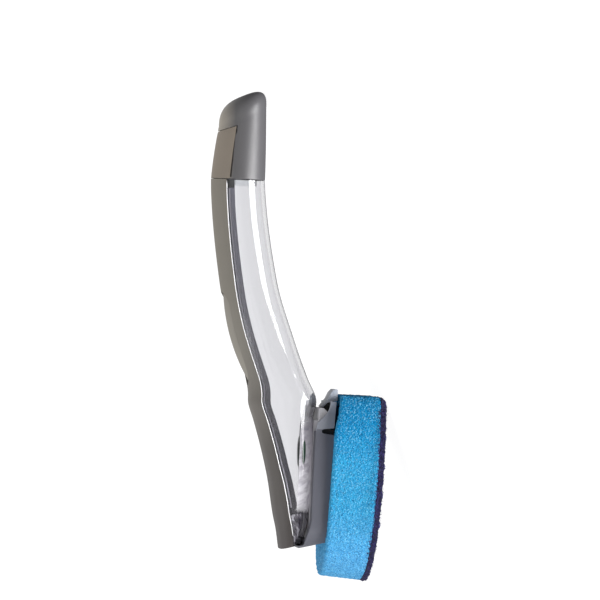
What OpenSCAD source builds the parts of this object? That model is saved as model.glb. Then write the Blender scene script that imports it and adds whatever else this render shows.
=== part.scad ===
// Dish wand: a soap reservoir in the handle, a press button on its back, a screw cap
// and a scrub refill that slides off the foot.
//
// The wand is drawn in its own frame. X points from the handle to the scrub face,
// Y is lateral and Z runs from the toe of the foot to the cap. X = 0 is the face of
// the foot on which the refill slides. place() then lays the wand down as it rests on
// a table, on the heel edge of the refill and the nose of the cap.

/* [Handle] */
// Height of the cap seam above the toe
handle_h = 197.2; // [185:0.1:215]
// Height of the shoulder, where the foot becomes the handle
foot_h = 80; // [76:1:88]
// Height over which the flat face rounds into the shoulder
shoulder_rise = 10; // [8:0.5:12]
// Height over which the toe is rounded
toe_round_h = 14; // [10:1:18]
// How far the toe's lower edge lies behind the foot's face
toe_round = 2.9; // [1.5:0.1:4]
// Slope of the toe's lower edge, degrees
toe_angle = 16; // [8:1:20]
// Bulge of the shoulder in front of the foot's face
shoulder_bulge = 1.7; // [0.5:0.1:1.9]
// Height from the shoulder up to the slope above it
slope_rise = 12; // [10:0.5:15]
// How far the front of that slope lies behind the foot's face
slope_back = 3.3; // [2:0.1:4.5]
// How far the front of the grip lies behind the foot's face
grip_back = 11; // [8:0.5:14]
// How far the front of the waist lies behind the foot's face
waist_back = 22; // [18:0.5:26]
// How far the front of the neck lies behind the foot's face
neck_back = 31.1; // [28:0.1:35]
// Depth of the handle at the top of the toe's rounding
toe_depth = 16.7; // [15.5:0.1:19]
// Depth of the foot at half its height
mid_depth = 22; // [21:0.1:25]
// Depth at the shoulder
shoulder_depth = 36.1; // [34:0.1:39]
// Depth at the slope above the shoulder
slope_depth = 33.6; // [32.5:0.1:35]
// Depth at the button
grip_depth = 33.8; // [32:0.1:36]
// Depth at the waist
waist_depth = 31.3; // [30:0.1:34]
// Depth at the cap seam
neck_depth = 29.2; // [28.5:0.1:31]
// Width of the toe
toe_w = 32; // [28:1:36]
// Width of the foot
foot_w = 38; // [36:1:40]
// Width at the button
grip_w = 33; // [32:0.5:36]
// Width at the cap seam
neck_w = 29; // [28.6:0.1:31]
// Wall of the clear reservoir, and thickness of the soft grip beside it
wall = 2.2; // [1.8:0.1:2.6]
// Wall of the rigid spine under the grip
spine_t = 2; // [1.5:0.1:2.4]
// How far the grip wraps round from the back
grip_wrap = 6.5; // [5:0.5:8]
// How far the spine laps inside the reservoir
lap = 5; // [3:0.5:6]
// Height of the soap chamber's floor above the toe
floor_z = 20; // [16:1:26]

/* [Button] */
// Height of the button's centre
button_z = 111.5; // [105:0.5:118]
// Length of the button
button_len = 52; // [40:1:56]
// Width of the button
button_w = 17; // [13:0.5:17.4]
// Lengthwise crown radius of the button
button_crown = 102; // [80:1:140]
// How far the crown's top lies below the button's centre
crown_drop = 2; // [0:0.5:4]
// How far the button's crown stands proud of the grip
button_rise = 0.8; // [0.4:0.1:2]
// Thickness of the button at its centre
button_t = 5.5; // [4.5:0.1:6]
// Travel of the button
button_travel = 2.5; // [1.5:0.1:3]
// Depth of the pump membrane under the button
membrane_h = 4; // [3:0.1:5]
// Wall of the pump membrane
membrane_t = 1.2; // [0.8:0.1:1.6]
// Wall of the frame round the membrane
frame_t = 1.35; // [1:0.05:1.5]
// Height of that frame
frame_h = 3.2; // [2:0.1:4]

/* [Neck and cap] */
// Outer radius of the neck
neck_r = 9.2; // [9:0.1:9.4]
// Radius of the filling bore
bore_r = 7; // [6.4:0.1:7.4]
// Height of the neck above the cap seam
neck_len = 14.5; // [12:0.5:16]
// Height of the plug below the cap seam
plug_h = 3; // [2.5:0.5:6]
// Height of the thread's start above the cap seam
thread_start = 4; // [3.5:0.5:5]
// Bare neck above the thread
thread_end = 1.9; // [1.5:0.1:3]
// Lead of the thread
lead = 6; // [5:0.5:7]
// Height of the thread's ridge
ridge_h = 0.9; // [0.7:0.1:1]
// Width of the thread's ridge at its root
ridge_w = 2.2; // [1.8:0.1:2.4]
// Height of the cap up to its dome
cap_h = 33.5; // [28:0.5:42]
// Height of the dome
dome_h = 11.9; // [9:0.1:14]
// Depth of the cap below the dome
cap_top_depth = 25.2; // [24.6:0.1:28]
// Width of the cap below the dome
cap_top_w = 24.6; // [24.4:0.1:28]
// Slope of the dome's lower edge
dome_slope = 0.45; // [0.2:0.05:0.5]
// Wall of the cap
cap_wall = 1.6; // [1.2:0.1:1.8]
// How far the soft inlay wraps round from the back of the cap
inlay_wrap = 9; // [6:0.5:11]
// Distance from the inlay up to the dome
inlay_top = 3.35; // [2:0.05:5]
// Thickness of the soft inlay
inlay_t = 0.9; // [0.5:0.1:1]
// Thickness of the cap insert's socket wall
socket_t = 1.2; // [1:0.1:1.3]
// Cord radius of the cap seal
seal_r = 0.75; // [0.6:0.05:0.9]

/* [Foot and refill] */
// Half width of the rail's stem
stem_hw = 13.5; // [11:0.5:14]
// Half width of the rail's head
rail_hw = 17; // [15.5:0.5:17.5]
// Thickness of the stem
stem_t = 2.2; // [2:0.1:2.6]
// Thickness of the rail's head
head_t = 2; // [1.6:0.1:2.1]
// Height of the rail's lower end above the toe
rail_z = 6; // [5.5:0.1:8]
// Height of the catch lugs above the foot's flat face
lug_rise = 6.8; // [6:0.1:7.2]
// Half width of the catch lugs
lug_hw = 20.2; // [19:0.1:20.4]
// Reach of the catch lugs in front of the foot's face
lug_reach = 6.9; // [5.5:0.1:7.2]
// Height of the outlet below the latch's hinge line (mm)
outlet_drop = 11.8; // [10:0.1:18]
// Radius of the outlet
outlet_r = 3.2; // [2.5:0.1:3.4]
// Radius of the slit valve
valve_r = 7.3; // [6.6:0.1:8]
// Thickness of the slit valve
valve_t = 1.6; // [1.2:0.1:2]
// Thickness of the valve's retainer
retainer_t = 1.4; // [1:0.1:2]
// Half width of the refill's plate
plate_hw = 23.6; // [23:0.1:26]
// Corner radius of the plate's toe
plate_r = 14; // [8:1:18]
// Height of the plate's rounded end above the toe
plate_toe_z = 0.5; // [0:0.1:1.5]
// Thickness of the plate's lip under the toe
lip_t = 1.3; // [1:0.1:1.6]
// Wall of the refill's skirt, floor and ribs
tray_t = 1.8; // [1.4:0.1:2]
// Distance from the shoulder down to the latch's hinge line
hinge_drop = 15.6; // [14:0.1:18]
// Distance from the foot's face to the closed end of the latch slot
slot_x = 4.6; // [4.2:0.1:5.4]
// Height of the latch slot at its open end
slot_h = 3.6; // [3:0.1:4]
// Half width of the latch's fin
fin_hw = 9; // [6:0.5:10]
// How far the fin reaches in front of the foam's heel
fin_out = 1.9; // [1:0.1:2.2]
// Depth that the foam leaves free behind the fin for its flexing
fin_free = 2.2; // [2:0.1:3]
// Width of the foam block
foam_w = 62; // [56:1:68]
// Radius of the foam's toe in plan
foam_toe_r = 27; // [22:1:27]
// Rake of the foam's toe, degrees
toe_rake = 4.4; // [3:0.1:6]
// Corner radius of the foam's heel in plan
foam_heel_r = 8; // [5:0.5:12]
// How far the foam's heel lies above the shoulder
heel_rise = 4; // [3:0.5:6]
// How far the foam reaches below the toe of the foot
toe_drop = 13.7; // [10:0.1:18]
// Distance from the foot's face to the foam at the heel
heel_gap = 11; // [10.6:0.1:12]
// Distance from the foot's face to the foam at the toe
toe_gap = 8; // [7.6:0.1:9]
// Distance from the foot's face to the crown of the scrub face
face_x = 37.7; // [34:0.1:42]
// Crown radius of the scrub face
face_r = 590; // [400:10:900]
// Height of the crown above the toe of the foot
crown_z = 52; // [40:1:58]
// Radius of the heel edge
heel_r = 3.5; // [3:0.1:5]
// Thickness of the scrub layer
pad_t = 3; // [2:0.1:3.4]
// Diameter of a scrub dot
dot_d = 3.6; // [2.5:0.1:5]
// Height of a scrub dot
dot_h = 0.8; // [0.5:0.1:1.2]
// Spacing of the scrub dots
dot_pitch = 9; // [7:0.5:12]
// Bare margin round the scrub dots
dot_margin = 3; // [2:0.5:6]

/* [Fits] */
// Gap between pieces that move past each other
run_gap = 0.3; // [0.25:0.05:0.35]
// Gap between pieces that are seated or glued
seat_gap = 0.05; // [0.03:0.01:0.08]
// Gap between the spine and the reservoir that it laps
glue_gap = 0.2; // [0.15:0.05:0.3]

/* [Hidden] */
eps = 0.01;
big = 200;
face_h = foot_h - shoulder_rise;
hinge_z = foot_h - hinge_drop;
outlet_z = hinge_z - outlet_drop;

// Stations of the handle from the toe up: height, front face, depth, width,
// squareness of the section and extra fullness that is planed off flat in front
STATIONS = [
  [0, -toe_round, toe_depth - toe_round - 2.6, toe_w - 3, 3.2, 0.8],
  [toe_round_h, 0, toe_depth, toe_w, 3.4, 0.8],
  [foot_h / 2, 0, mid_depth, foot_w - 1, 3.6, 0.8],
  [face_h, 0, (shoulder_depth + mid_depth) / 2 + 2.3, foot_w, 3.4, 0.8],
  [foot_h, shoulder_bulge, shoulder_depth, foot_w - 0.6, 3, 0.4],
  [foot_h + slope_rise, -slope_back, slope_depth, (foot_w + grip_w) / 2 + 0.3, 2.6, 0.2],
  [foot_h + 0.27 * (handle_h - foot_h), -grip_back, grip_depth, grip_w, 2.2, 0],
  [foot_h + 0.54 * (handle_h - foot_h), -waist_back, waist_depth, (grip_w + neck_w) / 2, 2.1, 0],
  [handle_h - 7, -neck_back + 0.6, neck_depth + 0.2, neck_w + 0.3, 2, 0],
  [handle_h, -neck_back, neck_depth, neck_w, 2, 0]
];

// Slope of a monotone cubic through column c at station i
function secant(c, i) = (STATIONS[i + 1][c] - STATIONS[i][c]) / (STATIONS[i + 1][0] - STATIONS[i][0]);
function tangent(c, i) =
  i == 0 ? secant(c, 0) :
  i == len(STATIONS) - 1 ? secant(c, i - 1) :
  let(s0 = secant(c, i - 1), s1 = secant(c, i)) s0 * s1 <= 0 ? 0 : 2 * s0 * s1 / (s0 + s1);

// Value of column c at height z
function column(c, z) =
  let(
    i = max([for (k = [0:len(STATIONS) - 2]) z >= STATIONS[k][0] ? k : 0]),
    h = STATIONS[i + 1][0] - STATIONS[i][0],
    t = (z - STATIONS[i][0]) / h
  )
  (2 * t * t * t - 3 * t * t + 1) * STATIONS[i][c] +
  (t * t * t - 2 * t * t + t) * h * tangent(c, i) +
  (3 * t * t - 2 * t * t * t) * STATIONS[i + 1][c] +
  (t * t * t - t * t) * h * tangent(c, i + 1);

function front(z) = column(1, z);
function depth(z) = column(2, z);
function back(z) = front(z) - depth(z);
function centre(z) = front(z) - depth(z) / 2;

// Height that the sloping toe adds to a level, which fades out at the foot's face
toe_lift = tan(toe_angle) * toe_depth * 0.8;
function lift(z, x) = max(0, 1 - z / face_h) * (toe_lift + tan(toe_angle) * x);

// Point of the handle's outline at level z, drawn in by off, at angle t from the front
function outline_point(z, off, t) =
  let(
    d = depth(z) / 2 - off,
    w = column(3, z) / 2 - off,
    q = 2 / column(4, z),
    x = centre(z) + (cos(t) > 0 ? min(d, (d + column(5, z)) * pow(cos(t), q)) : -d * pow(-cos(t), q)),
    y = w * sign(sin(t)) * pow(abs(sin(t)), q)
  )
  [x, y, z + lift(z, x)];

// Angle at which that outline lies dx in front of the handle's back
function angle_at(z, off, dx) =
  let(u = depth(z) / 2 - dx, d = depth(z) / 2 - off, q = column(4, z) / 2)
  u >= 0 ? 180 - acos(pow(min(1, u / d), q)) : acos(pow(min(1, -u / (d + column(5, z))), q));

function outline(z, off, from, to, n) =
  [for (i = [0:n]) outline_point(z, off, from + (to - from) * i / n)];

// Levels from lo to hi, closer together over the rounded toe
LEVELS = concat(
  [for (f = [0, 0.15, 0.3, 0.5, 0.75]) f * toe_round_h],
  [for (i = [0:24]) toe_round_h + (handle_h - toe_round_h) * i / 24]
);
function levels(lo, hi) = concat([lo], [for (z = LEVELS) if (z > lo + 0.6 && z < hi - 0.6) z], [hi]);

// Section of the front shell between two offsets, from the split line forwards
function front_ring(z, off, off2, dx, n) =
  let(a = angle_at(z, off, dx), b = angle_at(z, off2, dx))
  concat(outline(z, off, -a, a, n), outline(z, off2, b, -b, n));

// Section of a back shell between two offsets, dx deep from the handle's back
function back_ring(z, off, off2, dx, n) =
  let(a = max(15, angle_at(z, off, dx)), b = max(15, angle_at(z, off2, dx)))
  concat(outline(z, off, a, 360 - a, n), outline(z, off2, 360 - b, b, n));

// Closed skin through rings of equal length. The ends of a plain ring are fans, and
// those of a shell's section are strips between its outer and inner line.
module skin(rings, shell = true) {
  n = len(rings[0]);
  m = len(rings);
  ends = [for (r = [rings[0], rings[m - 1]]) [for (c = [0:2]) mean([for (p = r) p[c]])]];
  polyhedron(
    points = concat([for (r = rings) each r], shell ? [] : ends),
    faces = concat(
      [for (i = [0:m - 2]) for (j = [0:n - 1]) let(a = i * n + j, b = i * n + (j + 1) % n)
        each [[a, a + n, b + n], [a, b + n, b]]],
      shell ?
        [for (j = [0:n / 2 - 2]) let(a = [j, j + 1, n - 2 - j, n - 1 - j], z = (m - 1) * n)
          each [
            [a[0], a[1], a[2]], [a[0], a[2], a[3]],
            [z + a[2], z + a[1], z + a[0]], [z + a[3], z + a[2], z + a[0]]
          ]] :
        [for (j = [0:n - 1]) let(k = (j + 1) % n, z = (m - 1) * n)
          each [[m * n, j, k], [m * n + 1, z + k, z + j]]]
    )
  );
}
function mean(v) = v * [for (x = v) 1] / len(v);

// Outline of the y-z plane drawn out along X from x0 to x1
module along_x(x0, x1) {
  translate([x0, 0, 0]) rotate([90, 0, 90]) linear_extrude(x1 - x0) children();
}

// Outline of the x-z plane drawn out along Y from y0 to y1
module along_y(y0, y1) {
  translate([0, y1, 0]) rotate([90, 0, 0]) linear_extrude(y1 - y0) children();
}

module across_y(w) {
  along_y(-w / 2, w / 2) children();
}

module both_sides() {
  children();
  mirror([0, 1, 0]) children();
}

module stadium(w, l) {
  square([w, l - w], center = true);
  for (s = [-1, 1]) translate([0, s * (l - w) / 2]) circle(d = w, $fn = 64);
}

// Resting pose. The cap's lowest point and the heel's round edge share a tangent.
cap_x0 = centre(handle_h);
cap_z0 = handle_h + run_gap;
dome_x = cap_x0 + 0.9;
heel_z = foot_h + heel_rise;
face_cx = face_x - face_r;
heel_cz = heel_z - heel_r;
heel_cx = face_cx + sqrt(pow(face_r - heel_r, 2) - pow(heel_cz - crown_z, 2));
function to_floor(p) =
  let(v = [p[0] - heel_cx, p[2] - heel_cz]) atan2(v[1], v[0]) - acos(heel_r / norm(v));
nose_angle = min([for (a = [30:10:80]) for (p = dome_ring(a, 0)) to_floor(p)]);
tilt = 90 + nose_angle;
function laid_x(x, z) = x * cos(tilt) + z * sin(tilt);
function laid_z(x, z) = -x * sin(tilt) + z * cos(tilt);
low_z = laid_z(heel_cx, heel_cz) - heel_r;
toe_z = -toe_drop - 2;
toe_face_a = asin((toe_z - crown_z) / face_r);
far_x = max([for (a = [0:10:80]) for (p = dome_ring(a, 0)) laid_x(p[0], p[2])]);
near_x = laid_x(face_arc(0, toe_face_a)[0], face_arc(0, toe_face_a)[1]);

module place() {
  translate([-(far_x + near_x) / 2, 0, -low_z]) rotate([0, tilt, 0]) children();
}

// The scrub face is an arc. in is the depth below it, a the angle along it.
function face_arc(in, a) = [face_cx + (face_r - in) * cos(a), crown_z + (face_r - in) * sin(a)];
function foam_back(z) = toe_gap + (heel_gap - toe_gap) * (z + toe_drop) / (heel_z + toe_drop);

// Front shell of the handle, open towards the back where the spine closes it
module reservoir() {
  color("lightcyan", 0.5) place() difference() {
    skin([for (z = levels(0, handle_h)) front_ring(z, 0, wall, grip_wrap, 18)]);
    along_x(-wall - 1, 1) translate([0, outlet_z]) circle(r = nozzle_r + seat_gap, $fn = 48);
  }
}

// Rigid spine under the grip, with the chamber's floor and the toe's base
spine_off = wall + glue_gap;
disc_off = spine_off + spine_t / 4;
module back_spine() {
  color("dimgray") place() difference() {
    union() {
      skin([for (z = levels(0, handle_h)) back_ring(z, spine_off, spine_off + spine_t, grip_wrap + lap, 14)]);
      skin([for (z = [0.4, spine_t + 0.4]) outline(z, disc_off, 0, 345, 23)], false);
      skin([for (z = [floor_z - spine_t, floor_z]) outline(z, disc_off, 0, 345, 23)], false);
    }
    at_button() along_x(-1, frame_x + frame_h + 4) stadium(frame_w + 2 * seat_gap, frame_len + 2 * seat_gap);
  }
}

module grip_overmold() {
  color("gray") place() difference() {
    skin([for (z = levels(0, handle_h)) back_ring(z, 0, wall, grip_wrap - 2 * seat_gap, 12)]);
    at_button() along_x(-4, frame_x + 2) stadium(button_w + 2 * run_gap, button_len + 2 * run_gap);
  }
}

// Frame at the button: the origin is on the handle's back and +X points inwards
back_slope = (back(button_z + 5) - back(button_z - 5)) / 10;
module at_button() {
  translate([back(button_z), 0, button_z]) rotate([0, atan(back_slope), 0]) children();
}
frame_w = button_w + 2 * run_gap + 2 * frame_t;
frame_len = button_len + 2 * run_gap + 2 * frame_t;
frame_x = button_t + membrane_h - button_travel;

module dispense_button() {
  color("gray") place() at_button() intersection() {
    along_x(-button_rise - 1, button_t) stadium(button_w, button_len);
    translate([button_crown - button_rise, 0, -crown_drop]) rotate([90, 0, 0])
      cylinder(r = button_crown, h = big, center = true, $fn = 256);
    translate([grip_w / 2 - button_rise, 0, 0]) cylinder(r = grip_w / 2, h = big, center = true, $fn = 128);
  }
}

// Rubber cup under the button that squeezes the soap when it is pressed
module pump_membrane() {
  color("black") place() at_button() difference() {
    along_x(button_t, button_t + membrane_h) stadium(button_w, button_len);
    along_x(button_t + membrane_t, button_t + membrane_h + 1)
      stadium(button_w - 2 * membrane_t, button_len - 2 * membrane_t);
  }
}

module button_frame() {
  color("darkgray") place() at_button() difference() {
    along_x(frame_x, frame_x + frame_h) stadium(frame_w, frame_len);
    along_x(frame_x - 1, frame_x + frame_h + 1)
      stadium(button_w + 2 * run_gap, button_len + 2 * run_gap);
  }
}

// Helical ridge round the Z axis, tip on the outside if out is positive
ridge_turns = (neck_len - thread_start - thread_end - ridge_w / 2) / lead;
module ridge(r, out, z0) {
  steps = 30;
  skin([for (i = [0:steps])
    let(
      a = 360 * ridge_turns * i / steps,
      z = z0 + lead * ridge_turns * i / steps,
      s = out > 0 ? 1 : -1,
      tip = r + out * ridge_h,
      foot = r - out * 0.3,
      h = ridge_w / 2
    )
    [for (p = s > 0 ?
        [[foot, -h - 0.3], [foot, h + 0.3], [tip, h * 0.55], [tip, -h * 0.55]] :
        [[foot, h + 0.3], [foot, -h - 0.3], [tip, -h * 0.55], [tip, h * 0.55]])
      [p[0] * cos(a), p[0] * sin(a), z + p[1]]]
  ]);
}

plug_off = spine_off + spine_t + seat_gap;
ridge_z = handle_h + thread_start;
neck_top = handle_h + neck_len;
module neck_collar() {
  color("lightcyan") place() difference() {
    union() {
      translate([0, 0, handle_h - plug_h]) linear_extrude(plug_h)
        polygon([for (p = outline(handle_h - plug_h, plug_off + 0.1, 0, 345, 23)) [p[0], p[1]]]);
      translate([cap_x0, 0, handle_h - plug_h]) cylinder(r = neck_r, h = plug_h + neck_len, $fn = 96);
      translate([cap_x0, 0, 0]) ridge(neck_r, 1, ridge_z);
    }
    translate([cap_x0, 0, handle_h - plug_h - 1])
      cylinder(r = bore_r, h = plug_h + neck_len + 2, $fn = 96);
  }
}

// Level of the cap at share f of its straight height, drawn in by off
function cap_point(f, off, t) =
  let(
    d = (neck_depth + (cap_top_depth - neck_depth) * pow(f, 1.4)) / 2 - off,
    w = (neck_w + (cap_top_w - neck_w) * pow(f, 1.4)) / 2 - off,
    x = cap_x0 + (dome_x - cap_x0) * f + d * cos(t)
  )
  [x, w * sin(t), cap_z0 + cap_h * f + dome_slope * f * f * (x - dome_x)];
function cap_angle(f, off, dx) =
  let(d = (neck_depth + (cap_top_depth - neck_depth) * pow(f, 1.4)) / 2)
  180 - acos(min(1, (d - dx) / (d - off)));

// Level of the dome at angle a above its lower edge
function dome_ring(a, off) =
  [for (i = [0:31])
    let(
      s = pow(cos(a), 0.667),
      t = 360 * i / 32,
      x = dome_x + (cap_top_depth / 2 - off) * s * cos(t),
      y = (cap_top_w / 2 - off) * s * sin(t)
    )
    [x, y, cap_z0 + cap_h + dome_slope * (x - dome_x) + (dome_h - off) * pow(sin(a), 0.667)]];
DOME_ANGLES = [10, 20, 32, 45, 58, 70, 80, 87];

// Level of the cap's outside, stepped in by off at the back where the inlay lies
function cap_ring(f, off) =
  let(a = cap_angle(f, 0, inlay_wrap), b = cap_angle(f, off, inlay_wrap))
  concat(
    [for (i = [0:17]) cap_point(f, 0, -a + 2 * a * i / 17)],
    [for (i = [0:13]) cap_point(f, off, b + (360 - 2 * b) * i / 13)]
  );
inlay_f = 1 - inlay_top / cap_h;
CAP_LEVELS = [0, 0.15, 0.3, 0.45, 0.6, 0.75];

module filler_cap() {
  color("slategray") place() skin(concat(
    [for (a = [87, 75, 60, 45, 30, 15]) [for (p = dome_ring(a, cap_wall)) p]],
    [for (f = [1, 0.75, 0.5, 0.25, 0]) [for (i = [0:31]) cap_point(f, cap_wall, 360 * i / 32)]],
    [for (f = CAP_LEVELS) turned(cap_ring(f, inlay_t + seat_gap))],
    [turned(cap_ring(inlay_f, inlay_t + seat_gap)), turned(cap_ring(inlay_f + 0.01, 0.001))],
    [[for (i = [0:31]) cap_point(1, 0, 360 * i / 32)]],
    [for (a = DOME_ANGLES) dome_ring(a, 0)]
  ), false);
}

// Ring that starts at the point nearest the front, as the plain rings do
function turned(r) = [for (i = [0:len(r) - 1]) r[(i + 9) % len(r)]];

module cap_grip_inlay() {
  color("gray") place() skin([for (f = [0.01, 0.15, 0.3, 0.45, 0.6, 0.75, inlay_f - 0.01])
    let(a = cap_angle(f, 0, inlay_wrap - 0.1), b = cap_angle(f, inlay_t, inlay_wrap - 0.1))
    concat(
      [for (i = [0:13]) cap_point(f, 0, a + (360 - 2 * a) * i / 13)],
      [for (i = [0:13]) cap_point(f, inlay_t, 360 - b - (360 - 2 * b) * i / 13)]
    )]);
}

// Threaded socket and sealing plug inside the cap
socket_r = neck_r + ridge_h + 0.4;
insert_r = socket_r + socket_t;
plug_r = bore_r - 0.4;
seal_z = neck_top - 4;
seal_ring_r = bore_r - seat_gap - seal_r;
module cap_insert() {
  color("slategray") place() translate([cap_x0, 0, 0]) {
    difference() {
      translate([0, 0, cap_z0 + 0.5]) cylinder(r = insert_r, h = neck_len + 2, $fn = 96);
      translate([0, 0, cap_z0]) cylinder(r = socket_r, h = neck_len + run_gap, $fn = 96);
    }
    difference() {
      translate([0, 0, seal_z - 3]) cylinder(r = plug_r, h = neck_top - seal_z + 3 + 2 * run_gap, $fn = 96);
      translate([0, 0, seal_z - 4]) cylinder(r = plug_r - 2.4, h = neck_len, $fn = 64);
      translate([0, 0, seal_z]) difference() {
        cylinder(r = plug_r + 1, h = 2 * (seal_r + seat_gap), center = true, $fn = 96);
        cylinder(r = seal_ring_r - seal_r - seat_gap, h = 4 * seal_r, center = true, $fn = 96);
      }
    }
    ridge(socket_r, -1, ridge_z + lead / 2);
  }
}

module cap_seal() {
  color("black") place() translate([cap_x0, 0, seal_z]) rotate_extrude($fn = 96)
    translate([seal_ring_r, 0]) circle(r = seal_r, $fn = 32);
}

// Rail on the foot's face, with the lugs that catch the latch
rail_x = stem_t + head_t;
lug_z = face_h + lug_rise;
module foot_rail() {
  color("dimgray") place() difference() {
    union() {
      along_x(0, stem_t + eps) translate([-stem_hw, rail_z]) square([2 * stem_hw, face_h - rail_z]);
      along_x(stem_t, rail_x) translate([-rail_hw, rail_z]) square([2 * rail_hw, lug_z - rail_z]);
      both_sides() along_y(fin_hw + 1.5, lug_hw) polygon([
        [stem_t, lug_z], [lug_reach - 2.6, lug_z], [lug_reach, lug_z - 2.3],
        [lug_reach, lug_z - 3.3], [stem_t, lug_z - 8]
      ]);
    }
    along_x(-1, rail_x + 1) translate([0, outlet_z]) circle(r = nozzle_r + seat_gap, $fn = 48);
  }
}

// Outlet from the chamber through the foot's wall and the rail
nozzle_r = outlet_r + 1.4;
module outlet_nozzle() {
  color("gainsboro") place() translate([0, 0, outlet_z]) rotate([0, 90, 0]) difference() {
    translate([0, 0, -wall]) cylinder(r = nozzle_r, h = wall + rail_x, $fn = 48);
    translate([0, 0, -wall - 1]) cylinder(r = outlet_r, h = wall + rail_x + 2, $fn = 48);
  }
}

// Rubber disc with a crossed slit, thinned to a membrane in the middle
module slit_valve() {
  color("darkslategray") place() translate([-wall - seat_gap - valve_t, 0, outlet_z]) rotate([0, 90, 0])
    difference() {
      cylinder(r = valve_r, h = valve_t, $fn = 64);
      translate([0, 0, -1]) cylinder(r = outlet_r, h = 1 + valve_t * 0.55, $fn = 48);
      for (a = [45, 135]) rotate([0, 0, a])
        translate([0, 0, valve_t / 2]) cube([1.5 * outlet_r, 0.15, valve_t + 1], center = true);
    }
}

module valve_retainer() {
  color("gainsboro") place() translate([-wall - 2 * seat_gap - valve_t - retainer_t, 0, outlet_z]) rotate([0, 90, 0])
    difference() {
      cylinder(r = valve_r + 1, h = retainer_t, $fn = 64);
      translate([0, 0, -1]) cylinder(r = valve_r - 2.2, h = retainer_t + 2, $fn = 64);
    }
}

// Outline of the refill's plate in plan, with a rounded toe
module plate_plan(grow, z_top) {
  w = plate_hw + grow;
  r = plate_r + grow;
  z = plate_toe_z - grow;
  polygon(concat(
    [[w, z_top], [-w, z_top]],
    [for (a = [180:15:270]) [-w + r + r * cos(a), z + r + r * sin(a)]],
    [for (a = [270:15:360]) [w - r + r * cos(a), z + r + r * sin(a)]]
  ));
}

// Line of the plate's lower edge, a lip's thickness below the foot's toe
function lip_z(x) = toe_lift + tan(toe_angle) * x - run_gap - lip_t;

// Point in front of the foot's rounded toe at level z
function toe_line(z) = [front(z) + run_gap, z + lift(z, front(z))];

module base_side() {
  x0 = front(0) + run_gap;
  x1 = foam_back(hinge_z - slot_h / 2);
  polygon(concat(
    [
      [-5, lip_z(-5)], [foam_back(4.4), lip_z(foam_back(4.4))], [x1, hinge_z - slot_h / 2],
      [slot_x, hinge_z - 1.2], [slot_x - 0.9, hinge_z - 0.8], [slot_x - 1.2, hinge_z - run_gap / 2],
      [run_gap, hinge_z - run_gap / 2]
    ],
    [for (i = [6:-1:0]) toe_line(toe_round_h * i / 6)],
    [[x0, lip_z(x0) + lip_t], [-5, lip_z(-5) + lip_t]]
  ));
}

// Tray of the refill: floor, skirt and the lips that hold the rail
module refill_base() {
  lip_in = stem_hw + run_gap;
  head_in = rail_hw + run_gap;
  color("slategray") place() difference() {
    intersection() {
      across_y(big) base_side();
      along_x(-10, 20) plate_plan(0, hinge_z + 5);
    }
    along_x(-toe_round - 1, rail_x + run_gap)
      translate([-lip_in, rail_z - run_gap]) square([2 * lip_in, big]);
    along_x(stem_t - run_gap, rail_x + run_gap)
      translate([-head_in, rail_z - run_gap]) square([2 * head_in, big]);
    both_sides() intersection() {
      across_y(big) pocket_side();
      along_x(-10, 20) intersection() {
        plate_plan(-tray_t, hinge_z + 10);
        translate([head_in + tray_t, 4]) square([plate_hw, big]);
      }
    }
    intersection() {
      along_x(rail_x, 20) translate([-head_in + tray_t, rail_z + 2])
        square([2 * (head_in - tray_t), big]);
      across_y(big) pocket_side();
    }
    along_x(-1, 20) translate([0, outlet_z]) circle(r = outlet_r + 0.6, $fn = 48);
  }
}

module pocket_side() {
  polygon([
    [-toe_round - 1, 4], [foam_back(4) - tray_t, 4],
    [foam_back(hinge_z) - tray_t, hinge_z + 5], [-toe_round - 1, hinge_z + 5]
  ]);
}

// Latch above the slot: its side cheeks bend at the hinge line, and the fin is pressed
module latch_side() {
  polygon([
    [run_gap, hinge_z + run_gap / 2], [slot_x - 1.2, hinge_z + run_gap / 2],
    [slot_x - 0.9, hinge_z + 0.8], [slot_x, hinge_z + 1.2],
    [foam_back(hinge_z) - run_gap, hinge_z + slot_h / 2],
    [foam_back(heel_z) - run_gap, heel_z - 3.6], [foam_back(heel_z) - 3.2, heel_z - 3.6],
    [foam_back(heel_z) - 3.3, heel_z - 5.4], [foam_back(heel_z) - 4.1, heel_z - 7.9],
    [foam_back(heel_z) - 5.2, heel_z - 9.9], [foam_back(heel_z) - 6.5, heel_z - 11.6],
    [foam_back(heel_z) - 8, heel_z - 13], [1.8, heel_z - 14.2], [1, heel_z - 15.3],
    [0.7, heel_z - 16.6]
  ]);
}

module release_latch() {
  color("slategray") place() {
    both_sides() along_y(plate_hw - tray_t, plate_hw) latch_side();
    across_y(2 * plate_hw - 2 * tray_t + eps) polygon([
      [foam_back(hinge_z) - run_gap, hinge_z + slot_h / 2],
      [foam_back(heel_z) - run_gap, heel_z - 3.6],
      [foam_back(heel_z) - run_gap - tray_t, heel_z - 3.6],
      [foam_back(hinge_z) - run_gap - tray_t, hinge_z + slot_h / 2]
    ]);
    across_y(2 * fin_hw) polygon([
      [foam_back(heel_z) - run_gap, heel_z - 6.8], [foam_back(heel_z) - run_gap, heel_z - 3.6],
      [foam_back(heel_z) + fin_out, heel_z - 3.2], [foam_back(heel_z) + fin_out, heel_z + 2.7],
      [foam_back(heel_z) + fin_out - 0.5, heel_z + 3],
      [foam_back(heel_z), heel_z + 3], [foam_back(heel_z) - 1.6, heel_z + 1.2],
      [foam_back(heel_z) - 3.1, heel_z - 2.2], [rail_x + run_gap, heel_z - 6.8]
    ]);
  }
}

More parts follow.
